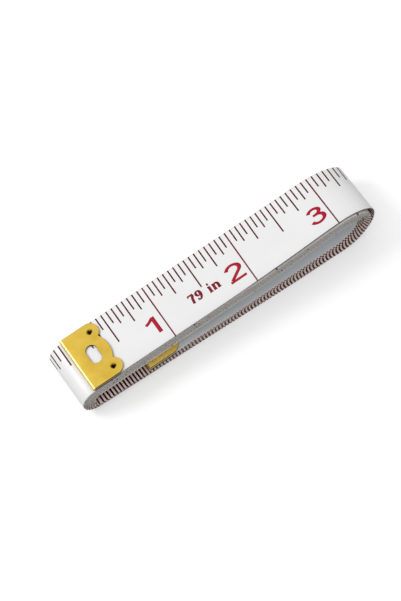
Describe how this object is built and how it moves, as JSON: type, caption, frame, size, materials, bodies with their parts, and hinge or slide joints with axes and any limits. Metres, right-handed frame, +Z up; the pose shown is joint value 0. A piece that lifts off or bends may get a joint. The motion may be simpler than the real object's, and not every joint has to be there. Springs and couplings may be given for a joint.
{
  "type": "cloth tape measure",
  "caption": "Soft printed tape measure wound flat into a teardrop hank, with a folded brass clip on each end and a free outer run that lifts and curls back.",
  "frame": {"origin": "middle of the winding's bottom, on the surface that it lies on", "axes": "+X along the outer run towards higher inch numbers, +Y across the tape towards the ticked edge, +Z up"},
  "size_m": [0.0904, 0.0192, 0.0152],
  "materials": {
    "printed_tape": "satin white vinyl over woven glass fibre, printed",
    "clip_brass": "bright stamped brass"
  },
  "bodies": {
    "winding": {"tape_coil": "printed_tape", "inner_end_clip": "clip_brass"},
    "lead_1": {"tape_lead_1": "printed_tape"},
    "lead_2": {"tape_lead_2": "printed_tape"},
    "lead_3": {"tape_lead_3": "printed_tape"},
    "lead_tip": {"tape_lead_tip": "printed_tape", "outer_end_clip": "clip_brass"}
  },
  "joints": [
    {"name": "lead_bend_1", "type": "hinge", "parent": "winding", "child": "lead_1", "pos_m": [0.02267, 0, 0.01239], "axis": [0, 1, 0], "range_deg": [0, 45]},
    {"name": "lead_bend_2", "type": "hinge", "parent": "lead_1", "child": "lead_2", "pos_m": [0.00669, 0, 0.01159], "axis": [0, 1, 0], "range_deg": [0, 45]},
    {"name": "lead_bend_3", "type": "hinge", "parent": "lead_2", "child": "lead_3", "pos_m": [-0.00929, 0, 0.01078], "axis": [0, 1, 0], "range_deg": [0, 45]},
    {"name": "lead_bend_4", "type": "hinge", "parent": "lead_3", "child": "lead_tip", "pos_m": [-0.02527, 0, 0.00997], "axis": [0, 1, 0], "range_deg": [0, 45]}
  ]
}
